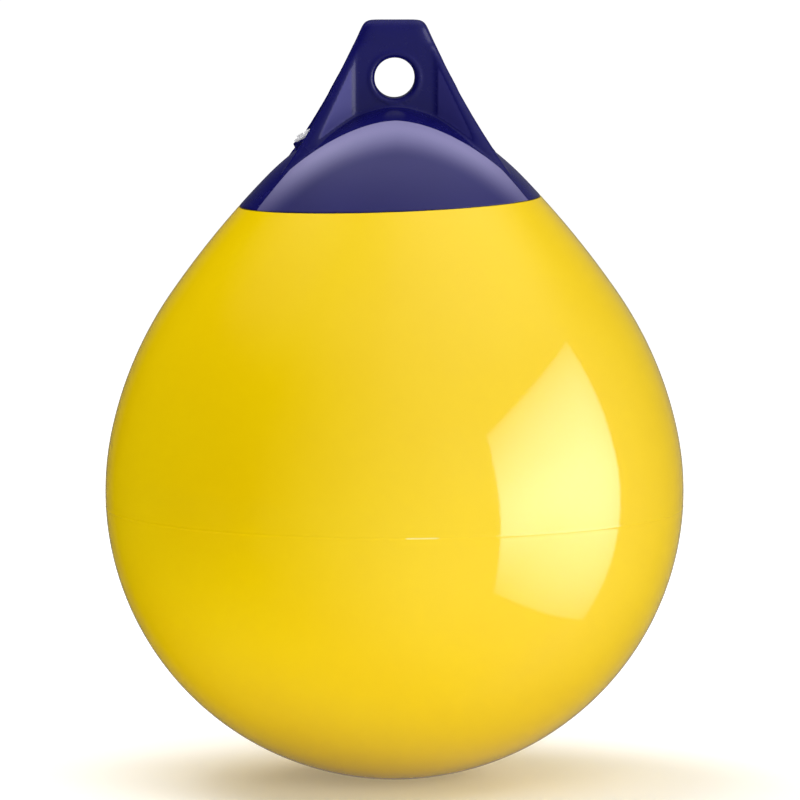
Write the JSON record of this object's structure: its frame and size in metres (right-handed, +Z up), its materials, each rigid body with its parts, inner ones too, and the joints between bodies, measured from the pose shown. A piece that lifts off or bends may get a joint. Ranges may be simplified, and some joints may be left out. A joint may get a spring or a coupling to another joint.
{
  "type": "inflatable mooring buoy",
  "caption": "Air-filled teardrop mooring buoy: glossy vinyl float with a ribbed moulded rope hold, a rope eye on top and an inflation valve in a side pocket.",
  "frame": {"origin": "centre of the rope eye", "axes": "+Z up along the buoy's axis from the float to the lug, +Y along the rope eye, away from the viewer of the picture, +X to the viewer's right"},
  "size_m": [0.431, 0.431, 0.5665],
  "materials": {
    "float_vinyl": "glossy yellow vinyl",
    "rope_hold_vinyl": "glossy navy vinyl",
    "valve_plastic": "off-white moulded plastic"
  },
  "bodies": {
    "root": {"float_body": "float_vinyl", "rope_hold": "rope_hold_vinyl", "valve_seat": "valve_plastic", "valve_screw": "valve_plastic"}
  },
  "joints": []
}
